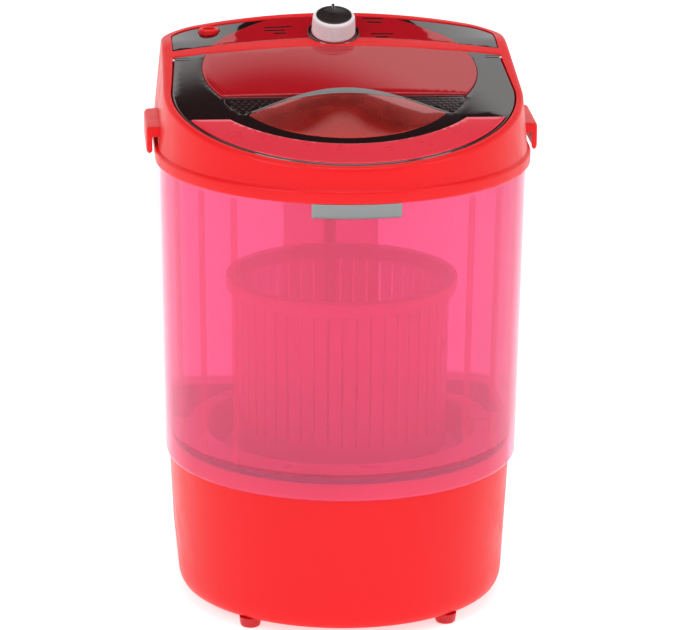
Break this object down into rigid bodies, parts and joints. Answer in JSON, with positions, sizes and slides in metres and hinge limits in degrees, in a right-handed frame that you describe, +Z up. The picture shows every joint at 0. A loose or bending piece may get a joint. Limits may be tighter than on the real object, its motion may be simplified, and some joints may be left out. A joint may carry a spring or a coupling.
{
  "type": "top load washing machine",
  "caption": "Compact top load washing machine with a translucent wash tub, lift-out spin basket, hinged lid, rear timer panel and belt-driven pulsator in an opaque base.",
  "frame": {"origin": "middle of the footprint on the floor the feet stand on", "axes": "+Z up, front towards -Y, +X to the right seen from the front; the drum turns about the Z axis"},
  "size_m": [0.368, 0.352, 0.5449],
  "materials": {
    "red_plastic": "glossy moulded",
    "base_plastic": "satin moulded",
    "foot_rubber": "matte",
    "tub_plastic": "translucent, glossy",
    "conduit_plastic": "translucent",
    "basket_plastic": "translucent, satin",
    "pulsator_plastic": "satin",
    "smoked_plastic": "deep gloss",
    "red_clear": "translucent, glossy",
    "metallic_red": "metallic lacquer",
    "front_band_red": "glossy",
    "silver_trim": "brushed",
    "knob_white": "satin",
    "steel": "plated",
    "cast_aluminium": "cast",
    "black_rubber": "matte",
    "motor_grey": "painted",
    "copper_winding": "lacquered windings",
    "timer_grey": "matte"
  },
  "bodies": {
    "root": {"base_housing": "red_plastic", "bottom_plate": "base_plastic", "rubber_feet": "foot_rubber", "foot_screws": "steel", "wash_tub": "tub_plastic", "base_screws": "steel", "top_collar": "red_plastic", "label_plate": "silver_trim", "left_handle": "red_plastic", "right_handle": "red_plastic", "handle_screws": "steel", "overflow_cover": "tub_plastic", "overflow_pipe": "base_plastic", "wire_conduit": "conduit_plastic", "wiring_lead": "timer_grey", "splash_tray": "base_plastic", "panel_fascia": "smoked_plastic", "panel_window": "red_clear", "knob_bezel": "smoked_plastic", "inlet_port": "red_plastic", "timer_body": "timer_grey", "hinge_pins": "steel", "bearing_housing": "cast_aluminium", "housing_screws": "steel", "shaft_seal": "black_rubber", "upper_bearing": "steel", "lower_bearing": "steel", "drive_belt": "black_rubber", "motor_bracket": "steel", "bracket_screws": "steel", "motor_mounts": "black_rubber", "motor_bolts": "steel", "motor_case": "motor_grey", "motor_end_cover": "motor_grey", "motor_stator": "copper_winding", "capacitor": "cast_aluminium", "capacitor_clip": "steel", "drain_hose": "black_rubber", "drain_spigot": "base_plastic", "cable_gland": "black_rubber"},
    "lid": {"lid_frame": "smoked_plastic", "lid_window": "red_clear", "lid_grip_dome": "metallic_red", "lid_trim_arc": "silver_trim", "lid_front_band": "front_band_red", "lid_grilles": "smoked_plastic"},
    "timer_dial": {"timer_shaft": "steel", "timer_knob": "knob_white", "knob_cap": "smoked_plastic"},
    "spindle": {"drive_shaft": "steel", "pulsator": "pulsator_plastic", "pulsator_screw": "steel", "pulsator_cap": "pulsator_plastic", "driven_pulley": "cast_aluminium", "pulley_nut": "steel"},
    "basket": {"spin_basket": "basket_plastic"},
    "motor_rotor": {"motor_rotor_core": "steel", "motor_shaft": "steel", "motor_pulley": "cast_aluminium"}
  },
  "joints": [
    {"name": "lid_hinge", "type": "hinge", "parent": "root", "child": "lid", "pos_m": [0, 0.07102, 0.50302], "axis": [-1, 0, 0], "range_deg": [0, 105]},
    {"name": "timer_turn", "type": "hinge", "parent": "root", "child": "timer_dial", "pos_m": [0, 0.125, 0.51741], "axis": [0, -0.3094, 0.9509], "range_deg": [-330, 0]},
    {"name": "pulsator_spin", "type": "hinge", "parent": "root", "child": "spindle", "pos_m": [0, 0, 0.1], "axis": [0, 0, 1], "continuous": true},
    {"name": "motor_spin", "type": "hinge", "parent": "root", "child": "motor_rotor", "pos_m": [0, 0.096, 0.1], "axis": [0, 0, 1], "continuous": true},
    {"name": "basket_lift", "type": "slide", "parent": "spindle", "child": "basket", "axis": [0, 0, 1], "range_m": [0, 0.12]}
  ],
  "couplings": [
    {"joint": "motor_spin", "follows": "pulsator_spin", "ratio": 3.5}
  ]
}
